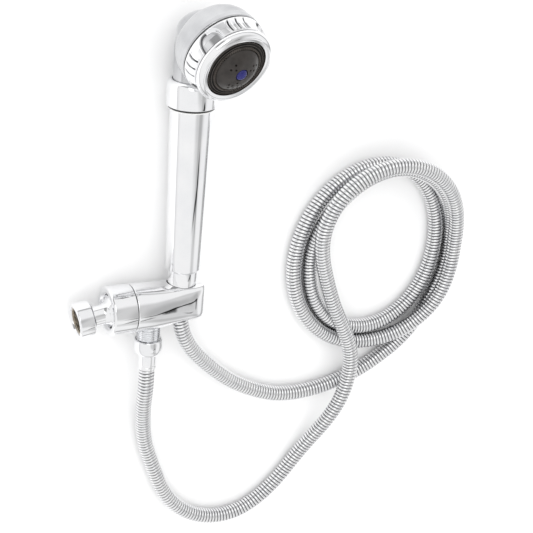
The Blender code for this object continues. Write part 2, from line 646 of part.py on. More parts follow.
def coil_outline():
    """Direction, inner and outer radius and top of the coil's stack, all the way round."""
    points = np.array(HOSE_ROUTE[len(OUTLET_STRETCH) - 4:-len(HANDSET_STRETCH)])
    path, length = smooth_path(points)
    samples = np.array([path(s) for s in np.arange(0, length, 2.0)])
    flat = samples[:, :2] - np.array(COIL_CENTRE)
    bearing = np.arctan2(flat[:, 1], flat[:, 0])
    reach = np.hypot(flat[:, 0], flat[:, 1])
    skin = HOSE_RADIUS + 0.8
    step = 2 * math.pi / COIL_SIDES
    outline = []
    for i in range(COIL_SIDES):
        angle = step * i
        apart = np.abs((bearing - angle + math.pi) % (2 * math.pi) - math.pi)
        near = apart < step
        outline.append((angle, reach[near].min() - skin, reach[near].max() + skin,
                        samples[near, 2].max() + skin))
    return outline


def make_hose_coil(outline):
    rings = []
    for angle, inner, outer, top in outline:
        c = math.cos(angle)
        s = math.sin(angle)
        corners = ((inner, 0.0), (outer, 0.0), (outer, top - 3), (outer - 3, top),
                   (inner + 3, top), (inner, top - 3))
        rings.append([(COIL_CENTRE[0] + r * c, COIL_CENTRE[1] + r * s, z) for r, z in corners])
    sides = len(rings[0])
    verts = [Vector(point) * MM for ring in rings for point in ring]
    faces = []
    for k in range(len(rings)):
        a = k * sides
        b = (k + 1) % len(rings) * sides
        for i in range(sides):
            j = (i + 1) % sides
            faces.append((a + i, b + i, b + j, a + j))
    mesh = bpy.data.meshes.new("hose_coil")
    mesh.from_pydata(verts, [], faces)
    bm = bmesh.new()
    bm.from_mesh(mesh)
    bmesh.ops.recalc_face_normals(bm, faces=bm.faces)
    bm.to_mesh(mesh)
    bm.free()
    return add_part("hose_coil", mesh, CHROME, ROOT)


def coil_clearance(outline):
    """The coil's outer shape grown by a gap and filled in, to trim the hose's straight runs."""
    rings = []
    for angle, _, outer, top in outline:
        reach = outer + GAP
        rings.append((COIL_CENTRE[0] + reach * math.cos(angle),
                      COIL_CENTRE[1] + reach * math.sin(angle)))
    high = max(top for _, _, _, top in outline) + 10
    stack = [[(x, y, z) for x, y in rings] for z in (-5, high)]
    return add_cutter("coil_clearance", loft_mesh("coil_clearance", stack), ROOT)


def run_into_coil(path, start, direction):
    """Points along the hose from one of its ends until it is well inside the coil's outline."""
    middle = np.array(COIL_CENTRE)
    points = [path(start), path(start + direction * EXIT_STEP)]
    place = start + direction * RUN_STEP
    while np.linalg.norm(points[-1][:2] - middle) > RUN_STOP_RADIUS:
        point = path(place)
        point[2] = max(point[2], HOSE_RADIUS + 0.1)
        points.append(point)
        place += direction * RUN_STEP
    return points


def make_hose_runs(outline):
    path, length = smooth_path(HOSE_ROUTE)
    clearance = coil_clearance(outline)
    for name, start, direction in (("hose_outlet_run", 0.0, 1), ("hose_handset_run", length, -1)):
        curve = wire_curve(name, run_into_coil(path, start, direction), HOSE_RADIUS, 2)
        hose = add_part(name, curve_to_mesh(name, curve), CHROME, ROOT)
        apply_boolean(hose, clearance, "DIFFERENCE", "MANIFOLD")


HOSE_ROUTE = list(OUTLET_STRETCH) + coil_points() + list(HANDSET_STRETCH)

make_bracket_body()
make_swivel_collar()
make_ball_seat()
make_ball_stem()
make_inlet_nut()
make_outlet()
make_outlet_hose_end()
make_handle()
make_head_shell()
make_spray_core()
make_turbine()
make_dial()
make_face()
make_handset_hose_end()
COIL_OUTLINE = coil_outline()
make_hose_coil(COIL_OUTLINE)
make_hose_runs(COIL_OUTLINE)
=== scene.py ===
"""Looks of the handheld bath sprayer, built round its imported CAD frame.

Profiles and places are written in millimetres, and every mesh is made in metres in the row
frame.  A profile is a list of (radius, height) about the piece's own axis, and a third number
rounds that corner.
"""
import math

import bmesh
import bpy
import numpy as np
from mathutils import Euler, Matrix, Vector


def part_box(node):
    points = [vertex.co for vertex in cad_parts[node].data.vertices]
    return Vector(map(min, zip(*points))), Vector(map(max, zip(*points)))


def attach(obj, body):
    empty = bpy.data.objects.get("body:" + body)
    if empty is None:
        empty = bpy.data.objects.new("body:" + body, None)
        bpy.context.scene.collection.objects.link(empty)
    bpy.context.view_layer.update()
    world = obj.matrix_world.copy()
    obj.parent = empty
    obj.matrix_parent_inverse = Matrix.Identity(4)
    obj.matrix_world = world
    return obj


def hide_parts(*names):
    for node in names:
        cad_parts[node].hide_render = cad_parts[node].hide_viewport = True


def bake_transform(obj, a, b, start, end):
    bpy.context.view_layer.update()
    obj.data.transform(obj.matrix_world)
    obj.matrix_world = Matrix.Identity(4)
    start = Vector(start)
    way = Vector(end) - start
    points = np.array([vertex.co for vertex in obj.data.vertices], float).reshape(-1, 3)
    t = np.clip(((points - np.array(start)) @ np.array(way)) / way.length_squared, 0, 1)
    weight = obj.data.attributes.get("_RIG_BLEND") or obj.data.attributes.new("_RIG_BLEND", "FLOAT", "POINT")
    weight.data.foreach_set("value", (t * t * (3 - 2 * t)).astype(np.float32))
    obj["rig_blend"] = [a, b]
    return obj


MM = 0.001
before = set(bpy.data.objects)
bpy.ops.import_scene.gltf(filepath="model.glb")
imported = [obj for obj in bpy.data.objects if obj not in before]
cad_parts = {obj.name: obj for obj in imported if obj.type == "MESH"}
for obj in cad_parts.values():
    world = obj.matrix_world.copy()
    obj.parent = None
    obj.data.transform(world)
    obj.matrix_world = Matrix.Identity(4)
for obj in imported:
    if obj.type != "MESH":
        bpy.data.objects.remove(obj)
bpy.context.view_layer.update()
SCENE = bpy.context.scene
SIDES = 128


# ---------------------------------------------------------------- frames

def turn(x=0.0, y=0.0, z=0.0):
    return Euler((x, y, z)).to_matrix().to_4x4()


def shift(x, y, z):
    return Matrix.Translation((x, y, z))


HANDLE_BOTTOM = 31.6
BALL_X = -58.0
OUTLET_X = -29.5
SPRAY_CORNER = 250.2
HANDSET_TWIST = math.radians(10)
SPRAY_LEAN = math.radians(22.5)
STEM_DROOP = math.radians(8)
COLLAR_RADIUS = 21.5
BALL_RADIUS = 15.2
SLOT_HALF_WIDTH = 7.9
CONE_TAPER = (13.2 - 11.0) / 30.0
DIAL_RADIUS = 35.0
# Half-inch pipe thread.
THREAD_PITCH = 1.81

# The bracket's axis and the handle's axis cross here.
tube_low, tube_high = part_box("handle_tube")
CROSSING = ((tube_low.x + tube_high.x) / 2 / MM, tube_low.y / MM - HANDLE_BOTTOM,
            (tube_low.z + tube_high.z) / 2 / MM)
BRACKET = shift(*CROSSING)
BRACKET_TURN = BRACKET @ turn(y=-math.pi / 2)
INLET = BRACKET @ shift(BALL_X, 0, 0) @ turn(0, -math.pi / 2, STEM_DROOP)
OUTLET = BRACKET @ shift(OUTLET_X, 0, 0) @ turn(x=math.pi / 2)
CRADLE = BRACKET @ turn(x=-math.pi / 2)
TWIST = BRACKET @ turn(y=HANDSET_TWIST)
HANDLE = TWIST @ turn(x=-math.pi / 2)
SPRAY = TWIST @ shift(0, SPRAY_CORNER, 0) @ turn(x=SPRAY_LEAN)
DETENT = SPRAY @ shift(0, 33.3, 0)


# ---------------------------------------------------------------- camera

# The camera's place from the crossing of the axes, in metres.
CAMERA_PLACE = (-0.4871, 0.5553, 1.0781)


def make_camera():
    """Camera that looks down on the set from beyond the spray head."""
    data = bpy.data.cameras.new("camera")
    data.lens = 101.31
    data.sensor_width = 36
    data.clip_start = 0.05
    data.clip_end = 60
    camera = bpy.data.objects.new("camera", data)
    right = (0.8965, 0.0712, 0.4373)
    up = (0.1175, 0.9135, -0.3895)
    back = (-0.4272, 0.4006, 0.8105)
    axes = Matrix((right, up, back)).transposed().to_4x4()
    camera.matrix_world = shift(*(MM * c for c in CROSSING)) @ shift(*CAMERA_PLACE) @ axes
    SCENE.collection.objects.link(camera)
    SCENE.camera = camera


make_camera()


# ---------------------------------------------------------------- node materials

class Shader:
    """A material whose Principled sockets are filled in by short calls."""

    def __init__(self, name):
        self.material = bpy.data.materials.new(name)
        self.material.use_nodes = True
        self.tree = self.material.node_tree
        self.main = self.tree.nodes["Principled BSDF"]
        self.place = self.add("ShaderNodeTexCoord").outputs["Object"]

    def add(self, kind, **settings):
        node = self.tree.nodes.new(kind)
        for key, value in settings.items():
            setattr(node, key, value)
        return node

    def link(self, output, socket):
        self.tree.links.new(output, socket)

    def stretched(self, scale):
        mapping = self.add("ShaderNodeMapping")
        mapping.inputs["Scale"].default_value = scale
        self.link(self.place, mapping.inputs["Vector"])
        return mapping.outputs["Vector"]

    def noise(self, scale, detail=3.0, place=None):
        node = self.add("ShaderNodeTexNoise")
        node.inputs["Scale"].default_value = scale
        node.inputs["Detail"].default_value = detail
        self.link(place or self.place, node.inputs["Vector"])
        return node.outputs["Fac"]

    def ramp(self, value, stops):
        node = self.add("ShaderNodeValToRGB")
        points = node.color_ramp.elements
        while len(points) < len(stops):
            points.new(0.5)
        for point, (place, colour) in zip(points, stops):
            point.position = place
            point.color = (*colour, 1)
        self.link(value, node.inputs["Fac"])
        return node.outputs["Color"]

    def spread(self, value, low, high, span=(0.3, 0.7)):
        node = self.add("ShaderNodeMapRange")
        node.inputs["From Min"].default_value = span[0]
        node.inputs["From Max"].default_value = span[1]
        node.inputs["To Min"].default_value = low
        node.inputs["To Max"].default_value = high
        self.link(value, node.inputs["Value"])
        return node.outputs["Result"]

    def mixed(self, share, first, second):
        node = self.add("ShaderNodeMix", data_type="RGBA")
        self.link(share, node.inputs["Factor"])
        for socket, value in ((node.inputs[6], first), (node.inputs[7], second)):
            if isinstance(value, tuple):
                socket.default_value = (*value, 1)
            else:
                self.link(value, socket)
        return node.outputs[2]

    def bump(self, height, strength, distance):
        node = self.add("ShaderNodeBump")
        node.inputs["Strength"].default_value = strength
        node.inputs["Distance"].default_value = distance
        self.link(height, node.inputs["Height"])
        self.link(node.outputs["Normal"], self.main.inputs["Normal"])

    def fill(self, **sockets):
        for key, value in sockets.items():
            socket = self.main.inputs[key.replace("_", " ")]
            if isinstance(value, bpy.types.NodeSocket):
                self.link(value, socket)
            else:
                socket.default_value = value
        return self.material


def metal(name, dark, light, rough=(0.03, 0.09), grain=0.02):
    """Plated or bare metal: cloudy tint, uneven polish and a trace of orange peel."""
    s = Shader(name)
    cloud = s.noise(38.0, 4.0)
    smear = s.noise(620.0, 2.0, s.stretched((1.0, 0.25, 1.0)))
    s.bump(s.noise(240.0, 2.0), grain, 0.0002)
    return s.fill(Base_Color=s.ramp(cloud, ((0.3, dark), (0.7, light))), Metallic=1.0,
                  Roughness=s.spread(smear, *rough))


def painted_groove_shade_metal(name, rough=(0.10, 0.55)):
    """Polished metal with painted shade in its grooves: the groove attribute darkens the colour and raises
    the roughness.
    """
    s = Shader(name)
    depth = s.add("ShaderNodeAttribute", attribute_name="groove").outputs["Fac"]
    tone = s.ramp(s.noise(90.0, 3.0), ((0.3, (0.84, 0.845, 0.86)), (0.7, (0.92, 0.92, 0.925))))
    s.bump(s.noise(900.0, 2.0), 0.03, 0.0002)
    # Painted groove shade: the colour is mixed towards near black where the groove attribute is high.
    return s.fill(Base_Color=s.mixed(depth, tone, (0.035, 0.036, 0.04)), Metallic=1.0,
                  Roughness=s.spread(depth, *rough, (0.0, 1.0)))


def moulded(name, dark, light, rough=(0.3, 0.45), grain=0.12, specular=0.5):
    """Moulded plastic or rubber with a fine grain."""
    s = Shader(name)
    blotch = s.noise(160.0, 5.0)
    s.bump(s.noise(2600.0, 3.0), grain, 0.0002)
    return s.fill(Base_Color=s.ramp(blotch, ((0.3, dark), (0.7, light))),
                  Roughness=s.spread(s.noise(900.0, 2.0), *rough),
                  Specular_IOR_Level=specular)


def gem_plastic(name):
    """Deep blue speckled moulding under a thin clear coat."""
    s = Shader(name)
    speck = s.noise(700.0, 3.0)
    s.bump(s.noise(1800.0, 2.0), 0.06, 0.0002)
    return s.fill(Base_Color=s.ramp(speck, ((0.32, (0.012, 0.012, 0.085)),
                                            (0.68, (0.020, 0.020, 0.150)))),
                  Roughness=s.spread(speck, 0.18, 0.30), Specular_IOR_Level=0.25, Coat_Weight=0.1,
                  Coat_Roughness=0.08)


CHROME = metal("polished_chrome", (0.84, 0.845, 0.86), (0.90, 0.90, 0.905), (0.02, 0.06), 0.008)
# Painted shade: a darker copy of the chrome for the head, standing in for the greyer reflections that the
# head shows.
HEAD_CHROME_PAINTED_SHADE = metal("head_chrome_painted_shade", (0.46, 0.465, 0.48), (0.66, 0.665, 0.675), (0.07, 0.15), 0.05)
SATIN_CHROME = metal("cast_chrome", (0.80, 0.81, 0.83), (0.87, 0.875, 0.885), (0.06, 0.14), 0.05)
BRASS = metal("turned_brass", (0.48, 0.43, 0.36), (0.64, 0.59, 0.51), (0.22, 0.36), 0.12)
STEEL = metal("stainless_steel", (0.52, 0.53, 0.55), (0.64, 0.645, 0.66), (0.20, 0.34), 0.10)
HOSE = painted_groove_shade_metal("hose_strip_painted_groove_shade", (0.07, 0.5))
DIAL = painted_groove_shade_metal("chrome_painted_groove_shade", (0.04, 0.5))
RUBBER = moulded("black_rubber", (0.012, 0.012, 0.012), (0.028, 0.027, 0.026), (0.42, 0.58), 0.2)
GLOSS_BLACK = moulded("black_plastic", (0.004, 0.004, 0.004), (0.009, 0.008, 0.007), (0.16, 0.26),
                      0.05, 0.12)
FACE_GREY = moulded("dark_face_plastic", (0.020, 0.017, 0.015), (0.036, 0.031, 0.028),
                    (0.28, 0.40), 0.10, 0.32)
# Lighter grey face plastic. On the beads of the black ring it is a painted highlight along the step edges;
# the toothed ring is made of it too.
BEAD_GREY = moulded("lighter_face_plastic", (0.040, 0.033, 0.028), (0.085, 0.074, 0.066),
                    (0.26, 0.38), 0.10, 0.35)
WHITE = moulded("white_plastic", (0.74, 0.74, 0.73), (0.86, 0.86, 0.85), (0.34, 0.46), 0.08)
BLUE = gem_plastic("blue_plastic")


# ---------------------------------------------------------------- mesh helpers

def mesh_from(name, verts, faces):
    """Mesh in metres from points in millimetres, with its faces turned outwards."""
    mesh = bpy.data.meshes.new(name)
    mesh.from_pydata([tuple(v) for v in np.asarray(verts, float) * MM], [], faces)
    bm = bmesh.new()
    bm.from_mesh(mesh)
    bmesh.ops.remove_doubles(bm, verts=bm.verts, dist=1e-6)
    bmesh.ops.recalc_face_normals(bm, faces=bm.faces)
    bm.to_mesh(mesh)
    bm.free()
    return mesh


def add_object(name, mesh):
    obj = bpy.data.objects.new(name, mesh)
    SCENE.collection.objects.link(obj)
    return obj


def finish_piece(obj, material, body, nodes, sharp=38):
    """Smooth shading, material, body and the CAD nodes that the piece stands for."""
    obj.data.shade_smooth()
    obj.data.set_sharp_from_angle(angle=math.radians(sharp))
    obj.data.materials.clear()
    obj.data.materials.append(material)
    if body:
        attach(obj, body)
    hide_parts(*nodes)
    return obj


def placed(matrix, points):
    """Points of a piece's own frame in the row frame, in millimetres."""
    points = np.asarray(points, float)
    m = np.array(matrix)
    return points @ m[:3, :3].T + m[:3, 3]


def rounded(profile, closed):
    """The profile with each corner that has a third number turned into an arc."""
    out = []
    count = len(profile)
    for i, corner in enumerate(profile):
        at = np.array(corner[:2], float)
        if len(corner) < 3 or (not closed and i in (0, count - 1)):
            out.append(at)
            continue
        before = np.array(profile[i - 1][:2], float) - at
        after = np.array(profile[(i + 1) % count][:2], float) - at
        u = before / np.linalg.norm(before)
        w = after / np.linalg.norm(after)
        half = math.acos(float(np.clip(u @ w, -1, 1))) / 2
        if half > math.pi / 2 - 0.02:
            out.append(at)
            continue
        reach = min(corner[2] / math.tan(half), 0.49 * np.linalg.norm(before),
                    0.49 * np.linalg.norm(after))
        radius = reach * math.tan(half)
        centre = at + (u + w) / np.linalg.norm(u + w) * radius / math.sin(half)
        first = at + u * reach - centre
        last = at + w * reach - centre
        start = math.atan2(first[1], first[0])
        sweep = (math.atan2(last[1], last[0]) - start + math.pi) % (2 * math.pi) - math.pi
        steps = max(2, int(abs(sweep) / 0.22) + 1)
        for k in range(steps + 1):
            angle = start + sweep * k / steps
            out.append(centre + radius * np.array((math.cos(angle), math.sin(angle))))
    return out


def finer(profile, step):
    """The profile with points added so that none are further apart than step."""
    out = [profile[0]]
    for a, b in zip(profile, profile[1:]):
        parts = max(1, int(math.ceil(np.linalg.norm(np.subtract(b, a)) / step)))
        out += [np.add(a, np.subtract(b, a) * k / parts) for k in range(1, parts + 1)]
    return out


def spline_bends(places, values):
    """Second derivatives of the natural cubic spline through values at places."""
    count = len(places)
    gaps = np.diff(places)
    system = np.eye(count)
    right = np.zeros_like(values)
    for i in range(1, count - 1):
        system[i, i - 1] = gaps[i - 1]
        system[i, i] = 2 * (gaps[i - 1] + gaps[i])
        system[i, i + 1] = gaps[i]
        after = (values[i + 1] - values[i]) / gaps[i]
        before = (values[i] - values[i - 1]) / gaps[i - 1]
        right[i] = 6 * (after - before)
    return np.linalg.solve(system, right)


def smooth_curve(places, values):
    """A function of an array of places that runs smoothly through the given values."""
    places = np.array(places, float)
    values = np.array(values, float)
    bends = spline_bends(places, values)

    def at(where):
        where = np.atleast_1d(where)
        i = np.clip(np.searchsorted(places, where) - 1, 0, len(places) - 2)
        gap = places[i + 1] - places[i]
        a = (places[i + 1] - where) / gap
        b = 1 - a
        if values.ndim > 1:
            gap, a, b = gap[:, None], a[:, None], b[:, None]
        bend = (a ** 3 - a) * bends[i] + (b ** 3 - b) * bends[i + 1]
        return a * values[i] + b * values[i + 1] + bend * gap ** 2 / 6

    return at


def smooth_profile(points, step=0.8):
    """A profile that runs smoothly through the points."""
    points = np.array(points, float)
    places = np.concatenate([[0], np.cumsum(np.linalg.norm(np.diff(points, axis=0), axis=1))])
    count = int(places[-1] / step) + 2
    return [tuple(p) for p in smooth_curve(places, points)(np.linspace(0, places[-1], count))]


def turned_mesh(name, matrix, profile, closed=True, sides=SIDES, shape=None, step=None):
    """Profile turned about Z.  An open profile starts and ends on the axis."""
    points = rounded(profile, closed)
    if step:
        points = finer(points + ([points[0]] if closed else []), step)
        points = points[:-1] if closed else points
    rz = np.array(points)
    angle = 2 * math.pi * np.arange(sides) / sides
    r, a = np.meshgrid(rz[:, 0], angle, indexing="ij")
    z = np.repeat(rz[:, 1:], sides, axis=1)
    if shape:
        r, z = shape(r, a, z)
    verts = np.stack([r * np.cos(a), r * np.sin(a), z], axis=-1).reshape(-1, 3)
    rows = len(points)
    faces = []
    for i in range(rows if closed else rows - 1):
        j = (i + 1) % rows
        for k in range(sides):
            n = (k + 1) % sides
            quad = (i * sides + k, i * sides + n, j * sides + n, j * sides + k)
            if rz[i, 0] < 1e-6:
                quad = quad[1:]
            elif rz[j, 0] < 1e-6:
                quad = quad[:3]
            faces.append(quad)
    return mesh_from(name, placed(matrix, verts), faces)


def turned(name, matrix, profile, material, body, slot, nodes, **options):
    sharp = options.pop("sharp", 38)
    return finish_piece(add_object(name, turned_mesh(name, matrix, profile, **options)),
                        material, body, nodes, sharp)


def seam(name, matrix, radii, heights, body):
    """Black shadow ring that sits in the gap between two turned pieces."""
    (inner, outer), (low, high) = radii, heights
    turned(name, matrix, ((inner, high), (outer, high), (outer, low), (inner, low)), RUBBER,
           body, "black_rubber", ())


def loft(name, matrix, rings):
    """Closed skin over rings of points."""
    rings = np.array(rings, float)
    rows, sides = rings.shape[:2]
    faces = [tuple(range(sides)), tuple(range((rows - 1) * sides, rows * sides))]
    for i in range(rows - 1):
        for k in range(sides):
            n = (k + 1) % sides
            faces.append((i * sides + k, i * sides + n, (i + 1) * sides + n, (i + 1) * sides + k))
    return mesh_from(name, placed(matrix, rings.reshape(-1, 3)), faces)


def merged(name, meshes):
    """One mesh that holds all of them."""
    bm = bmesh.new()
    for mesh in meshes:
        bm.from_mesh(mesh)
    whole = bpy.data.meshes.new(name)
    bm.to_mesh(whole)
    bm.free()
    return whole


def applied(obj):
    """The object's mesh with its modifiers applied."""
    bpy.context.view_layer.update()
    done = obj.evaluated_get(bpy.context.evaluated_depsgraph_get())
    mesh = bpy.data.meshes.new_from_object(done)
    obj.modifiers.clear()
    obj.data = mesh
    return obj


def cast(name, meshes, voxel, rounds, factor=0.5):
    """The solids run together into one skin whose corners are softened as on a casting."""
    obj = add_object(name, merged(name, meshes))
    remesh = obj.modifiers.new("skin", "REMESH")
    remesh.mode = "VOXEL"
    remesh.voxel_size = voxel * MM
    soften = obj.modifiers.new("soften", "SMOOTH")
    soften.factor = factor
    soften.iterations = rounds
    return applied(obj)


def cut(obj, cutters, solver="MANIFOLD"):
    """Takes the cutters out of the object, one after another, and leaves a plain mesh."""
    holders = []
    for mesh in cutters:
        holder = add_object("cutter", mesh)
        holder.hide_render = True
        step = obj.modifiers.new("cut", "BOOLEAN")
        step.operation = "DIFFERENCE"
        step.solver = solver
        step.object = holder
        holders.append(holder)
    applied(obj)
    for holder in holders:
        bpy.data.objects.remove(holder)
    return obj


def rod(matrix, radius, low, high, centre=(0, 0), sides=20):
    x, y = centre
    mesh = turned_mesh("rod", matrix @ shift(x, y, 0), (
        (0, high), (radius, high), (radius, low), (0, low)), closed=False, sides=sides)
    return mesh


def block(matrix, low, high):
    (x0, y0, z0), (x1, y1, z1) = low, high
    rings = [[(x0, y0, z), (x1, y0, z), (x1, y1, z), (x0, y1, z)] for z in (z0, z1)]
    return loft("block", matrix, rings)


# ---------------------------------------------------------------- hose

HOSE_RADIUS = 7.2
OUTLET_STRETCH = (
    (-29.5, -60.5, 21.5), (-29.5, -80, 20.8), (-29.2, -98, 17.5), (-26.5, -122, 11.5),
    (-22, -146, 7.9), (-14, -170, 7.2), (1, -205, 7.2), (22, -228, 7.2), (50, -240, 7.2),
    (77, -239, 7.2), (101, -227, 7.2), (122, -207, 7.2), (141, -181, 9.5), (157, -155, 16.5),
    (169.5, -130, 21.3), (176.5, -107, 22), (177.5, -85, 22), (172, -63.5, 22.2),
    (162, -42.5, 22.2), (152, -21.5, 22.2), (144, 0, 22.4))
HANDSET_STRETCH = (
    (240, -79, 7.2), (220, -93.5, 7.2), (200, -104.5, 7.2), (180, -112, 7.2),
    (158, -117.5, 7.2), (136, -119.5, 7.2), (112, -118, 7.4), (88, -110, 8.2), (64, -97, 10),
    (43, -80.5, 12.8),
    (27.5, -65.5, 15.9), (15.2, -51.5, 18.6), (6.4, -37.5, 20.5), (1.5, -24, 21.4),
    (0, -13, 21.5), (0, -7.3, 21.5))
COIL_CENTRE = (205.0, 20.0)
COIL_POINTS_A_TURN = 16
# One radius and one height for each eighth of a turn, from the left side of the first turn.
COIL_RADII = (66.5, 86, 90.5, 80, 72, 82, 94, 94.5, 88, 85.5, 82.5, 69, 60.5, 67, 79, 79.5,
              72, 76, 82.5, 79, 76, 87)
COIL_HEIGHTS = (23, 31, 36, 32.5, 24, 21.8, 10.2, 7.3, 7.2, 7.2, 7.2, 7.2, 7.2, 7.2, 7.2, 7.2,
                7.8, 18.5, 21.8, 18.5, 8.5, 7.2)
STRIP_PITCH = 3.1
STRIP_SIDES = 22
# Height below the crest and painted groove shade across one turn of the strip.
STRIP_SECTION = ((-1.10, 1.0), (-0.40, 0.24), (-0.06, 0.0), (0.0, 0.0), (-0.10, 0.0),
                 (-0.46, 0.28))
BLEND_START = 240.0
BLEND_END = 30.0


def coil_points():
    """Centre points of the hose's coil, clockwise from its left side."""
    knots = 0.25 + np.arange(len(COIL_RADII)) / 8
    turns = knots[-1] - knots[0]
    count = int(turns * COIL_POINTS_A_TURN)
    at = knots[0] + turns * np.arange(1, count + 1) / count
    radius = smooth_curve(knots, COIL_RADII)(at)
    height = smooth_curve(knots, COIL_HEIGHTS)(at)
    x = COIL_CENTRE[0] - radius * np.sin(2 * math.pi * at)
    y = COIL_CENTRE[1] - radius * np.cos(2 * math.pi * at)
    return list(zip(x, y, np.maximum(height, HOSE_RADIUS)))


def hose_line():
    """Even steps along the hose's centre: places along it, points and two cross directions."""
    knots = np.array(list(OUTLET_STRETCH) + coil_points() + list(HANDSET_STRETCH), float)
    chords = np.concatenate([[0], np.cumsum(np.linalg.norm(np.diff(knots, axis=0), axis=1))])
    fine = smooth_curve(chords, knots)(np.linspace(0, chords[-1], 9000))
    fine[:, 2] = np.maximum(fine[:, 2], HOSE_RADIUS + 0.1)
    along = np.concatenate([[0], np.cumsum(np.linalg.norm(np.diff(fine, axis=0), axis=1))])
    places = np.linspace(0, along[-1], int(along[-1] / 0.5))
    points = np.stack([np.interp(places, along, fine[:, k]) for k in range(3)], axis=1)
    points += np.array((CROSSING[0], CROSSING[1], 0))
    ahead = np.gradient(points, axis=0)
    ahead /= np.linalg.norm(ahead, axis=1, keepdims=True)
    first = np.zeros_like(points)
    side = np.array((0.0, 0.0, 1.0))
    for i, way in enumerate(ahead):
        side = side - way * (side @ way)
        side /= np.linalg.norm(side)
        first[i] = side
    return places, points, first, np.cross(ahead, first)


def make_hose():
    """The hose's wound strip as one helical skin, closed flat inside each ferrule."""
    places, points, first, second = hose_line()
    length = places[-1]
    section = np.array(STRIP_SECTION)
    across = len(section)
    windings = int(length / STRIP_PITCH) + 3
    steps = windings * STRIP_SIDES
    j = np.arange(steps)[:, None]
    p = np.arange(across)[None, :]
    place = (j / STRIP_SIDES - 1 + p / across) * STRIP_PITCH
    angle = np.broadcast_to(2 * math.pi * j / STRIP_SIDES, place.shape)
    inside = np.clip(place, 0, length)
    reach = HOSE_RADIUS + np.broadcast_to(section[:, 0], place.shape)
    take = [np.stack([np.interp(inside, places, src[:, k]) for k in range(3)], axis=-1)
            for src in (points, first, second)]
    verts = take[0] + reach[..., None] * (np.cos(angle)[..., None] * take[1]
                                          + np.sin(angle)[..., None] * take[2])
    # Painted shade between the strip's turns, carried to the hose material in the groove attribute.
    dark = np.broadcast_to(section[:, 1], place.shape)
    faces = []
    for a in range(steps - 1):
        for b in range(across):
            if b < across - 1:
                quad = (a * across + b, (a + 1) * across + b, (a + 1) * across + b + 1,
                        a * across + b + 1)
            elif a + 1 + STRIP_SIDES < steps:
                quad = (a * across + b, (a + 1) * across + b, (a + 1 + STRIP_SIDES) * across,
                        (a + STRIP_SIDES) * across)
            else:
                continue
            if (place[a, b] > -STRIP_PITCH / across) and (
                    place[a, b] < length + STRIP_PITCH / across):
                faces.append(quad)
    mesh = bpy.data.meshes.new("ribbed_hose")
    mesh.from_pydata([tuple(v) for v in verts.reshape(-1, 3) * MM], [], faces)
    mesh.attributes.new("groove", "FLOAT", "POINT").data.foreach_set(
        "value", dark.astype(np.float32).ravel())
    mesh.attributes.new("along", "FLOAT", "POINT").data.foreach_set(
        "value", inside.astype(np.float32).ravel())
    bm = bmesh.new()
    bm.from_mesh(mesh)
    bmesh.ops.remove_doubles(bm, verts=bm.verts, dist=2e-5)
    bmesh.ops.delete(bm, geom=[v for v in bm.verts if not v.link_faces], context="VERTS")
    bmesh.ops.holes_fill(bm, edges=[e for e in bm.edges if e.is_boundary], sides=400)
    bmesh.ops.recalc_face_normals(bm, faces=bm.faces)
    bm.to_mesh(mesh)
    bm.free()
    hose = add_object("ribbed_hose", mesh)
    finish_piece(hose, HOSE, None,
                 ("hose_outlet_run", "hose_coil", "hose_handset_run"), sharp=60)
    blend_from = Vector(points[0] * MM)
    blend_to = Vector(points[-1] * MM)
    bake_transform(hose, "bracket", "hose_end", start=blend_from, end=blend_to)
    along = np.zeros(len(mesh.vertices), np.float32)
    mesh.attributes["along"].data.foreach_get("value", along)
    share = np.clip((along - (length - BLEND_START)) / (BLEND_START - BLEND_END), 0, 1)
    share = share * share * (3 - 2 * share)
    mesh.attributes["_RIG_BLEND"].data.foreach_set("value", share.astype(np.float32))
    path = [tuple(points[i] * MM) for i in range(0, len(points), 8)] + [tuple(points[-1] * MM)]
    return hose, path, length * MM


hose, hose_path, hose_length = make_hose()


# ---------------------------------------------------------------- hose ends

def thread(crest, depth, low, high, pitch, fade=1.0):
    """Shape of a screw thread cut into the outside, or into a bore if depth is below nothing."""
    def shape(r, a, z):
        phase = (z / pitch - a / (2 * math.pi)) % 1
        tooth = np.clip(1.25 - np.abs(phase - 0.5) * 4, 0, 1)
        ends = np.clip((z - low) / fade, 0, 1) * np.clip((high - z) / fade, 0, 1)
        here = np.abs(r - crest) < 0.02
        return np.where(here, r - depth * ends * (1 - tooth), r), z
    return shape


def make_outlet():
    """Threaded outlet, the domed nut on it and the plain sleeve of the hose's first end."""
    turned("threaded_outlet", OUTLET, (
        (9.7, 39.8, 0.3), (10.3, 39.2, 0.3), (10.3, 15.0, 0.3), (9.8, 14.3), (6.6, 14.3),
        (6.6, 18.0), (7.6, 18.0), (7.6, 39.8, 0.3)), SATIN_CHROME, "bracket",
        "polished_chrome", ("outlet_nipple",), step=0.16, sides=96,
        shape=thread(10.3, 0.85, 19.5, 39.0, THREAD_PITCH))
    dome = smooth_profile(((8.1, 46.2), (9.7, 45.7), (11.4, 43.9), (12.45, 41.2), (12.8, 38.2),
                           (12.6, 34.6), (12.25, 32.4)), 0.5)
    nut = turned("domed_hose_nut", OUTLET, [(7.95, 46.2)] + dome + [
        (12.2, 31.8, 0.5), (11.7, 31.2, 0.4), (10.75, 31.2, 0.3), (10.75, 43.7), (8.1, 43.7)],
        CHROME, "bracket", "polished_chrome", ("outlet_hose_nut",))
    sleeve = turned("outlet_end_sleeve", OUTLET, (
        (7.2, 60.5, 0.5), (7.85, 60.1, 0.6), (7.95, 57.8, 0.5), (7.6, 57.2, 0.4),
        (7.6, 56.4, 0.4), (7.85, 55.8, 0.4), (7.85, 43.5), (10.1, 43.4), (10.1, 41.9),
        (5.6, 41.9), (5.6, 60.5, 0.3)), CHROME, "bracket", "polished_chrome",
        ("outlet_ferrule",))
    return nut, sleeve


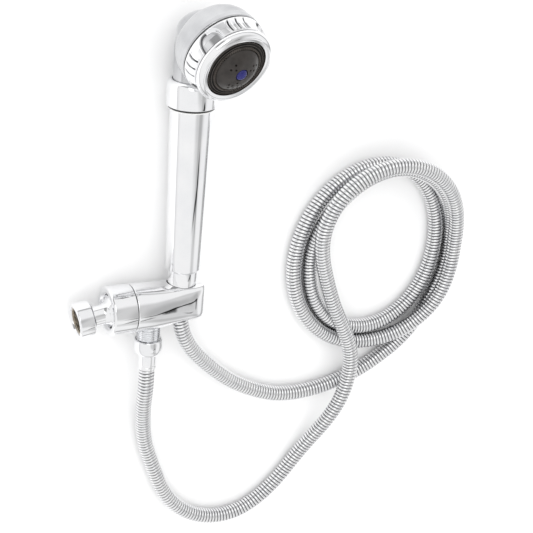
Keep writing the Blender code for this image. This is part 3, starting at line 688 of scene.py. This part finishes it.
def make_handset_hose_end():
    """Cone nut that sits in the cradle and the sleeve of the hose's second end."""
    cone = turned("tapered_hose_nut", HANDLE, (
        (12.7, 31.3, 0.4), (13.25, 30.6, 0.5), (13.2, 24.0, 2.0),
        (11.0 + CONE_TAPER * 0.8, -5.2, 0.6), (10.3, -6.0, 0.5), (8.0, -6.0, 0.4), (8.0, 8.7),
        (10.5, 8.7), (10.5, 31.3)), CHROME, "handset", "polished_chrome", ("hose_cone_nut",))
    ferrule = turned("handset_end_sleeve", HANDLE, (
        (10.1, 11.0), (10.1, 9.1), (7.7, 9.0), (7.7, -6.4, 0.4), (7.3, -7.0, 0.2), (5.6, -7.0),
        (5.6, 11.0)), CHROME, "hose_end", "polished_chrome", ("handset_ferrule",))
    return cone, ferrule


outlet_nut, outlet_sleeve = make_outlet()
cone_nut, handset_sleeve = make_handset_hose_end()


# ---------------------------------------------------------------- bracket

def bracket_rings():
    """Rounded sections of the bracket body across X, squarer towards the cradle."""
    table = np.array((
        (-47.3, -21.5, 21.5, 21.5, 2.0), (-42, -21.5, 21.4, 21.5, 2.0),
        (-36, -21.2, 20.9, 21.3, 2.05), (-30, -20.6, 20.3, 20.9, 2.15),
        (-24, -19.6, 19.8, 20.3, 2.3), (-18, -18.4, 19.4, 19.6, 2.5),
        (-12, -17.0, 19.3, 18.9, 2.8), (-6, -15.6, 19.4, 18.4, 3.2), (0, -14.4, 19.5, 18.1, 3.6),
        (6, -13.6, 19.5, 17.8, 4.0), (11, -13.2, 19.5, 16.7, 4.4), (14, -13.0, 19.5, 15.0, 4.8),
        (16, -13.0, 19.5, 13.0, 5.0), (17.6, -13.0, 19.5, 10.2, 5.0)))
    shape_at = smooth_curve(table[:, 0], table[:, 1:])
    turns = 2 * math.pi * np.arange(160) / 160
    rings = []
    for x in np.linspace(-47.3, 17.6, 100):
        low, high, half_depth, power = shape_at(x)[0]
        y = np.sign(np.cos(turns)) * np.abs(np.cos(turns)) ** (2 / power)
        z = np.sign(np.sin(turns)) * np.abs(np.sin(turns)) ** (2 / power)
        rings.append(np.stack([np.full_like(y, x), (high + low) / 2 + y * (high - low) / 2,
                               z * half_depth], axis=1))
    return rings


def make_bracket():
    """Cast body with its bores and slot, and the spigot that carries the collar."""
    casting = cast("bracket_casting", (loft("body", BRACKET, bracket_rings()),), 0.42, 9)
    top_radius, bottom_radius = 13.15, 10.3
    cutters = (
        turned_mesh("cone_bore", CRADLE, (
            (0, 24.0), (top_radius + 2.4, 24.0), (top_radius + 1.0, 19.8),
            (top_radius, 18.3, 0.8), (bottom_radius, -20.0), (0, -20.0)), closed=False,
            sides=128),
        block(BRACKET, (1.3, -30, -SLOT_HALF_WIDTH), (30, 30, SLOT_HALF_WIDTH)),
        turned_mesh("ball_pocket", BRACKET_TURN, (
            (0, 58), (15.8, 58), (15.8, 41), (7, 41), (7, 27.5), (0, 27.5)), closed=False),
        turned_mesh("outlet_bore", OUTLET, (
            (0, 30), (10.7, 30), (10.7, 14), (6.2, 14), (6.2, -3), (0, -3)), closed=False))
    cut(casting, cutters)
    finish_piece(casting, CHROME, "bracket", ("bracket_body",), 32)
    turned("collar_spigot", BRACKET_TURN, (
        (18.3, 57.0, 0.4), (18.3, 47.4), (15.8, 47.4), (15.8, 57.0, 0.4)),
        SATIN_CHROME, "bracket", "polished_chrome", ())


def make_collar():
    turned("swivel_collar_shell", BRACKET_TURN, (
        (16.6, 69.0, 0.5), (20.5, 69.0, 1.6), (COLLAR_RADIUS, 67.6, 1.6),
        (COLLAR_RADIUS, 47.9, 0.45),
        (18.7, 47.9, 0.3), (18.7, 61.0), (15.5, 61.0), (14.1, 64.5, 0.6), (14.7, 67.4, 0.8)),
        CHROME, "bracket", "polished_chrome", ("swivel_collar",))
    seam("collar_seam", BRACKET_TURN, (18.9, 20.9), (47.35, 47.8), "bracket")


def sphere_arc(radius, start, end, steps):
    """Profile along a sphere between two angles from its upper pole, in degrees."""
    angles = np.radians(np.linspace(start, end, steps + 1))
    return [(radius * math.sin(a), radius * math.cos(a)) for a in angles]


def make_inlet():
    """Swivel ball with its neck, and the threaded nut for the shower arm."""
    ball = sphere_arc(BALL_RADIUS, 41.5, 158, 48)
    turned("swivel_ball", INLET, [
        (10.3, 30.0, 0.3), (10.3, 27.9, 0.3), (8.8, 27.7), (8.8, 14.6, 2.2)] + ball
        + [(ball[-1][0], 30.0)], CHROME, "inlet_stem", "polished_chrome", ("ball_stem",))
    turned("shower_arm_nut", INLET, (
        (12.5, 39.3, 0.5), (14.9, 39.3, 0.7), (15.8, 38.4, 0.8), (15.8, 26.6, 1.0),
        (14.3, 24.9, 1.0), (9.6, 24.6, 0.4), (9.2, 25.0), (9.2, 27.5), (11.9, 27.5),
        (11.9, 37.8, 0.4)), CHROME, "inlet_nut", "polished_chrome", ("inlet_nut",))
    turned("nut_thread", INLET, (
        (11.85, 37.6), (11.85, 28.0), (10.7, 28.0), (10.7, 37.6)), BRASS, "inlet_nut",
        "yellow_brass", (), step=0.16, sides=96,
        shape=thread(10.7, -0.8, 28.2, 37.6, THREAD_PITCH))


make_bracket()
make_collar()
make_inlet()


# ---------------------------------------------------------------- handset

def make_handle():
    """Tapered grip, the pale lip at its top and the collar below the neck."""
    turned("handle_barrel", HANDLE, (
        (16.4, 188.6), (16.4, 177.2), (18.1, 176.9, 0.3), (15.3, 33.2, 0.9),
        (14.4, 31.6, 0.7), (12.4, 31.6, 0.4), (12.4, 35.2), (13.7, 35.8), (14.8, 176.0),
        (14.8, 188.6)), CHROME, "handset", "polished_chrome", ("handle_tube",))
    turned("handle_lip", HANDLE, (
        (19.0, 177.2, 0.2), (19.5, 176.7, 0.4), (19.0, 175.9, 0.3), (18.25, 175.9),
        (18.25, 177.2)), WHITE, "handset", "white_plastic", ("handle_trim_ring",))
    turned("neck_collar", HANDLE, (
        (17.1, 201.0, 0.3), (18.6, 200.9, 1.2), (20.6, 199.3, 2.2),
        (COLLAR_RADIUS, 196.4, 2.5), (COLLAR_RADIUS, 179.5, 0.3), (21.1, 179.1, 0.2),
        (16.9, 179.1), (16.9, 200.0)), CHROME, "handset", "polished_chrome", ("handle_collar",))
    seam("handle_seam", HANDLE, (17.3, 19.6), (177.25, 179.05), "handset")


def elbow_rings(sides=112):
    """Sections of the neck and of the elbow round the crotch of its bend."""
    table = np.array((
        (0, 16.7, 16.8), (16, 16.1, 17.3), (31, 16.1, 18.8), (45, 16.3, 20.9), (59, 16.4, 22.3),
        (73, 16.4, 23.0), (87, 16.3, 23.4), (100, 15.3, 23.6), (112.5, 14.2, 23.6)))
    size_at = smooth_curve(table[:, 0], table[:, 1:])
    turns = 2 * math.pi * np.arange(sides) / sides
    rings = [np.stack([16.6 * np.sin(turns), 16.6 * np.cos(turns), np.full(sides, z)], axis=1)
             for z in np.linspace(191.6, 226.0, 12)]
    crotch = np.array((0, -18.0, 228.0))
    for degrees in np.linspace(0, 112.5, 46):
        high, wide = size_at(degrees)[0]
        angle = math.radians(degrees)
        away = np.array((0, math.cos(angle), math.sin(angle)))
        middle = crotch + away * (1.2 + high)
        rings.append(middle + away * high * np.cos(turns)[:, None]
                     + np.array((1, 0, 0)) * wide * np.sin(turns)[:, None])
    return rings


def make_head():
    """Elbow and bell in one casting, hollow from the neck to the dial."""
    elbow = loft("elbow", HANDLE, elbow_rings())
    dome = smooth_profile(((35.1, 31.4), (33.6, 26.5), (30.7, 21.5), (26.0, 17.0),
                           (19.6, 13.6), (11.6, 12.0), (0, 11.6)), 0.9)
    bell = turned_mesh("bell", SPRAY, [
        (0, 43.4), (35.4, 43.4, 0.5), (36.0, 42.8, 0.5), (36.0, 37.8, 0.5), (35.5, 37.1, 0.5)]
        + dome, closed=False, sides=160)
    head = cast("sprayer_head", (elbow, bell), 0.5, 8)
    chamber = turned_mesh("chamber", SPRAY, (
        (0, 46), (31.2, 46), (31.2, 34.0), (9.0, 34.0), (9.0, 8.0), (0, 8.0)), closed=False)
    passage = turned_mesh("passage", HANDLE, (
        (0, 241), (8.6, 241), (8.6, 190), (0, 190)), closed=False, sides=48)
    cut(head, (chamber, passage, rod(DETENT, 1.5, 35.4, 46)))
    finish_piece(head, HEAD_CHROME_PAINTED_SHADE, "handset", ("head_shell",), 40)
    seam("dial_seam", SPRAY, (31.6, 35.3), (43.46, 44.3), "handset")


def toothed(count, base, depth):
    """Shape of a ring whose part above the base height stands up in teeth."""
    def shape(r, a, z):
        tooth = np.clip(0.5 + 1.6 * np.sin(count * a), 0, 1)
        return r, np.where(z > base, z - depth * (1 - tooth), z)
    return shape


PAD_ANGLES = [math.radians(48 + 90 * k) for k in range(4)]
SLIT_ANGLES = [math.radians(3 + 90 * k + side) for k in range(4) for side in (-12, 0, 12)]


def round_the_dial(a, middle):
    """Distance round the dial from the middle angle."""
    return ((a - middle + math.pi) % (2 * math.pi) - math.pi) * DIAL_RADIUS


def dial_marks(a, z):
    """Depth of the dial's four thumb pads and its groups of three curved slits, with the painted shade in
    the slits and a painted dark reflection on one wall of each pad.
    """
    sink = np.zeros_like(a)
    dark = np.zeros_like(a)
    for middle in PAD_ANGLES:
        across = round_the_dial(a, middle)
        back = np.clip((58.6 - z) / 12.6, 0, 2)
        inside = 1 - (np.abs(across / (11.2 - 2.2 * back)) ** 3 + back ** 3)
        wall = np.clip(inside / 0.28, 0, 1)
        lip = np.exp(-((inside + 0.10) / 0.10) ** 2)
        sink += 2.1 * wall * wall * (3 - 2 * wall) - 0.3 * lip
        # Painted dark reflection on the wall of each pad, on one side only; it turns with the dial.
        dark = np.maximum(dark, 0.95 * np.exp(-((inside - 0.17) / 0.14) ** 2) * (across > 0))
    for middle in SLIT_ANGLES:
        rise = np.clip((z - 46.0) / (57.2 - 46.0), 0, 1)
        bow = 1.3 * (1 - (2 * rise - 1) ** 2)
        across = round_the_dial(a, middle) - bow
        ends = np.clip(np.minimum(z - 45.8, 57.3 - z) / 0.7, 0, 1)
        groove = np.clip(1.6 - np.abs(across) / 0.55, 0, 1)
        sink += 1.4 * groove * ends - 0.25 * np.exp(-((np.abs(across) - 1.9) / 0.8) ** 2) * ends
        # Painted shade in the slits.
        dark = np.maximum(dark, groove * ends)
    return sink, dark


def dial_shape(r, a, z):
    """Sinks the marks into the dial's outer skin."""
    return np.where(r > 33.0, r - dial_marks(a, z)[0], r), z


def make_dial():
    """Turning sleeve with its bright rim and the stepped black ring inside it."""
    sleeve = turned("spray_dial_sleeve", SPRAY, (
        (33.2, 58.4, 0.4), (33.8, 57.8, 0.5), (34.9, 52.0), (35.6, 46.4, 1.5), (35.7, 45.0, 0.4),
        (35.3, 44.4, 0.3), (29.0, 44.4), (29.0, 58.4)), DIAL, "dial", "polished_chrome",
        ("dial_ring",), sides=900, step=0.40, shape=dial_shape, sharp=55)
    # The painted slit shade and the painted pad reflection go to the dial's material in the groove
    # attribute.
    points = np.array([vertex.co for vertex in sleeve.data.vertices]) / MM
    x, y, z = placed(SPRAY.inverted(), points).T
    dark = np.where(np.hypot(x, y) > 30, dial_marks(np.arctan2(y, x), z)[1], 0)
    sleeve.data.attributes.new("groove", "FLOAT", "POINT").data.foreach_set(
        "value", dark.astype(np.float32))
    outer = smooth_profile(((30.5, 65.0), (31.9, 64.4), (33.2, 63.0), (33.8, 61.2),
                            (33.7, 59.8)), 0.4)
    turned("face_rim", SPRAY, [
        (26.2, 64.3, 0.2), (26.5, 64.9, 0.4), (28.9, 65.4, 0.5), (29.5, 64.9, 0.2),
        (30.1, 65.2, 0.2)] + outer + [(33.3, 59.0, 0.3), (29.4, 59.0), (26.2, 60.0)], CHROME,
        "dial", "polished_chrome", ("face_bezel",))
    seam("bezel_seam", SPRAY, (29.6, 33.0), (58.45, 58.95), "dial")
    turned("black_step_ring", SPRAY, (
        (21.5, 65.0, 0.2), (22.9, 65.0, 0.3), (23.3, 64.4, 0.2), (24.8, 64.2, 0.3),
        (25.3, 63.4, 0.2), (25.9, 63.4, 0.2), (25.9, 60.6), (21.5, 60.6)), GLOSS_BLACK, "dial",
        "black_rubber", ("face_ring",))
    # Two thin beads of lighter plastic on the step edges, each a painted highlight line.
    for reach, height in ((23.05, 64.95), (25.0, 64.15)):
        turned("face_bead_painted_highlight", SPRAY, (
            (reach - 0.22, height), (reach - 0.12, height + 0.3), (reach + 0.12, height + 0.3),
            (reach + 0.22, height), (reach, height - 0.4)), BEAD_GREY, "dial",
            "dark_face_plastic", ())


# Distance from the spray axis and swing from the cluster's middle of each spray hole, and how
# many of them each of the three clusters has.
HOLES = ((8.3, 0.0), (12.0, 0.22), (12.0, -0.22), (14.8, 0.0), (15.4, 0.30), (15.4, -0.30),
         (12.6, 0.52), (12.6, -0.52))
HOLE_COUNTS = (4, 3, 8)
HOLE_RADIUS = 0.95


def make_nozzle_face():
    """Domed face with its spray holes, the toothed ring round it and the blue button."""
    dome = smooth_profile(((5.4, 72.7), (10.0, 71.8), (14.5, 69.9), (18.2, 67.2)), 0.5)
    face = turned("nozzle_face", SPRAY, [(5.4, 72.7)] + dome[1:] + [
        (19.2, 66.0, 0.4), (19.4, 65.0, 0.3), (19.4, 60.8), (5.4, 60.8)], FACE_GREY, "dial",
        "dark_face_plastic", ("spray_face",))
    turned("toothed_ring", SPRAY, (
        (19.75, 65.9), (20.0, 66.3), (21.0, 66.1), (21.3, 65.7), (21.3, 60.8), (19.75, 60.8)),
        BEAD_GREY, "dial", "dark_face_plastic", (), sides=720, shape=toothed(72, 65.5, 0.9))
    rods = []
    for cluster, count in enumerate(HOLE_COUNTS):
        middle = math.radians(120 * cluster + 22)
        for reach, swing in HOLES[:count]:
            spot = (reach * math.cos(middle + swing), reach * math.sin(middle + swing))
            rods.append(rod(SPRAY, HOLE_RADIUS, 59, 75, spot))
    cut(face, [merged("holes", rods)])
    face.data.shade_smooth()
    face.data.set_sharp_from_angle(angle=math.radians(38))
    turned("center_button", SPRAY, [(0, 74.5)] + smooth_profile((
        (0.6, 74.48), (2.4, 74.2), (4.0, 73.4), (4.7, 72.5)), 0.3) + [
        (4.9, 71.8, 0.3), (5.0, 60.5), (0, 60.5)], BLUE, "dial", "blue_plastic",
        ("center_cap",), closed=False, sides=96)


make_handle()
make_head()
make_dial()
make_nozzle_face()


# ---------------------------------------------------------------- carried-over CAD nodes

KEPT = {
    WHITE: ("ball_seat", "check_valve_seat", "check_valve_guide", "water_tube", "valve_plate",
            "turbine"),
    RUBBER: ("ball_seal", "outlet_hose_washer", "inlet_washer", "neck_o_ring", "dial_o_ring",
             "handset_hose_washer"),
    GLOSS_BLACK: ("check_valve_poppet", "face_backing"),
    BRASS: ("tail_fitting", "detent_pin"),
    STEEL: ("inlet_screen", "check_valve_spring", "detent_spring", "center_screw"),
}
for material, names in KEPT.items():
    for name in names:
        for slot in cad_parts[name].material_slots:
            slot.material = material


# ---------------------------------------------------------------- floor, light and world

# Strength of the surroundings as diffuse surfaces and as polished ones see them.
DIFFUSE_LIGHT = 1.30
MIRRORED_LIGHT = 1.0


def make_floor():
    s = Shader("floor_painted_light_pool")
    # Painted pool of light: the floor is 0.93 within 0.4 m of a point beside the set and darkens to 0.52 by
    # 1.2 m away.
    middle = s.add("ShaderNodeVectorMath", operation="DISTANCE")
    s.link(s.place, middle.inputs[0])
    middle.inputs[1].default_value = (0.12, -0.10, 0.0)
    away = s.spread(middle.outputs["Value"], 0.0, 1.0, (0.40, 1.20))
    tone = s.ramp(away, ((0.0, (0.93, 0.93, 0.93)), (1.0, (0.52, 0.52, 0.525))))
    material = s.fill(Base_Color=tone, Roughness=s.spread(s.noise(3.0, 2.0), 0.85, 0.95),
                      Specular_IOR_Level=0.1)
    size = 6.0
    mesh = bpy.data.meshes.new("floor")
    mesh.from_pydata([(-size, -size, 0), (size, -size, 0), (size, size, 0), (-size, size, 0)],
                     [], [(0, 1, 2, 3)])
    floor = add_object("floor", mesh)
    mesh.materials.append(material)


def make_light():
    data = bpy.data.lights.new("softbox", "AREA")
    data.shape = "DISK"
    data.size = 1.6
    data.energy = 6.0
    light = bpy.data.objects.new("softbox", data)
    SCENE.collection.objects.link(light)
    light.location = (-0.7, 1.2, 1.9)
    light.rotation_euler = (-light.location).to_track_quat("-Z", "Y").to_euler()


# Dark and grey patches between the studio's lights, which only reflections see: middle as the X
# and Y of a direction, tilt in degrees, half length, half width, soft edge and darkness.
PATCHES = (
    (0.545, -0.360, 30, 0.045, 0.026, 0.9, 0.96),
    (0.552, -0.395, 80, 0.045, 0.018, 0.9, 0.85),
    (0.450, -0.400, 14, 0.110, 0.011, 1.0, 0.96),
    (0.380, -0.595, 50, 0.080, 0.013, 1.0, 0.94),
    (0.380, 0.060, 0, 0.420, 0.420, 0.35, 0.30),
    (0.500, -0.360, 0, 0.110, 0.500, 0.8, 0.28),
    (0.430, -0.720, 0, 0.300, 0.060, 0.8, 0.22),
    (-0.580, 0.760, 35, 0.200, 0.420, 0.6, 0.62),
    (-0.100, 0.250, 35, 0.260, 0.200, 0.8, 0.30),
)
# The band along the horizon: the sine of the height where it ends, and its least brightness.
HORIZON_TOP = 0.22
HORIZON_LIGHT = 0.42


def make_world():
    """Bright even surroundings, a greyer horizon and a few patches that only reflections see."""
    world = bpy.data.worlds.new("studio")
    SCENE.world = world
    world.use_nodes = True
    tree = world.node_tree
    tree.nodes.clear()

    def feed(socket, value):
        if isinstance(value, bpy.types.NodeSocket):
            tree.links.new(value, socket)
        elif value is not None:
            socket.default_value = value

    def math_node(operation, first, second=None):
        node = tree.nodes.new("ShaderNodeMath")
        node.operation = operation
        feed(node.inputs[0], first)
        feed(node.inputs[1], second)
        return node.outputs[0]

    def fade(value, start, end, low, high):
        node = tree.nodes.new("ShaderNodeMapRange")
        node.interpolation_type = "SMOOTHSTEP"
        for key, number in (("From Min", start), ("From Max", end), ("To Min", low),
                            ("To Max", high)):
            node.inputs[key].default_value = number
        feed(node.inputs["Value"], value)
        return node.outputs["Result"]

    place = tree.nodes.new("ShaderNodeTexCoord").outputs["Generated"]
    split = tree.nodes.new("ShaderNodeSeparateXYZ")
    tree.links.new(place, split.inputs[0])
    low = fade(math_node("ABSOLUTE", split.outputs["Z"]), 0.02, HORIZON_TOP,
               1.0 - HORIZON_LIGHT, 0.0)
    side = fade(split.outputs["X"], -0.6, 0.2, 0.25, 1.0)
    light = math_node("SUBTRACT", 1.0, math_node("MULTIPLY", low, side))
    for x, y, tilt, long, wide, soft, dark in PATCHES:
        mapping = tree.nodes.new("ShaderNodeMapping")
        mapping.vector_type = "TEXTURE"
        mapping.inputs["Location"].default_value = (x, y, 0)
        mapping.inputs["Rotation"].default_value = (0, 0, math.radians(tilt))
        mapping.inputs["Scale"].default_value = (long, wide, 1000.0)
        tree.links.new(place, mapping.inputs["Vector"])
        away = tree.nodes.new("ShaderNodeVectorMath")
        away.operation = "LENGTH"
        tree.links.new(mapping.outputs["Vector"], away.inputs[0])
        patch = fade(away.outputs["Value"], max(0.0, 1 - soft / 2), 1 + soft, 1 - dark, 1.0)
        light = math_node("MULTIPLY", light, patch)
    path = tree.nodes.new("ShaderNodeLightPath")
    glossy = path.outputs["Is Glossy Ray"]
    plain = math_node("MULTIPLY", math_node("SUBTRACT", 1.0, glossy), DIFFUSE_LIGHT)
    strength = math_node("ADD", math_node("MULTIPLY", math_node("MULTIPLY", light, glossy),
                                          MIRRORED_LIGHT), plain)
    background = tree.nodes.new("ShaderNodeBackground")
    background.inputs["Color"].default_value = (1.0, 1.0, 1.0, 1)
    tree.links.new(strength, background.inputs["Strength"])
    output = tree.nodes.new("ShaderNodeOutputWorld")
    tree.links.new(background.outputs[0], output.inputs["Surface"])


make_floor()
make_light()
make_world()
SCENE.view_settings.view_transform = "Standard"
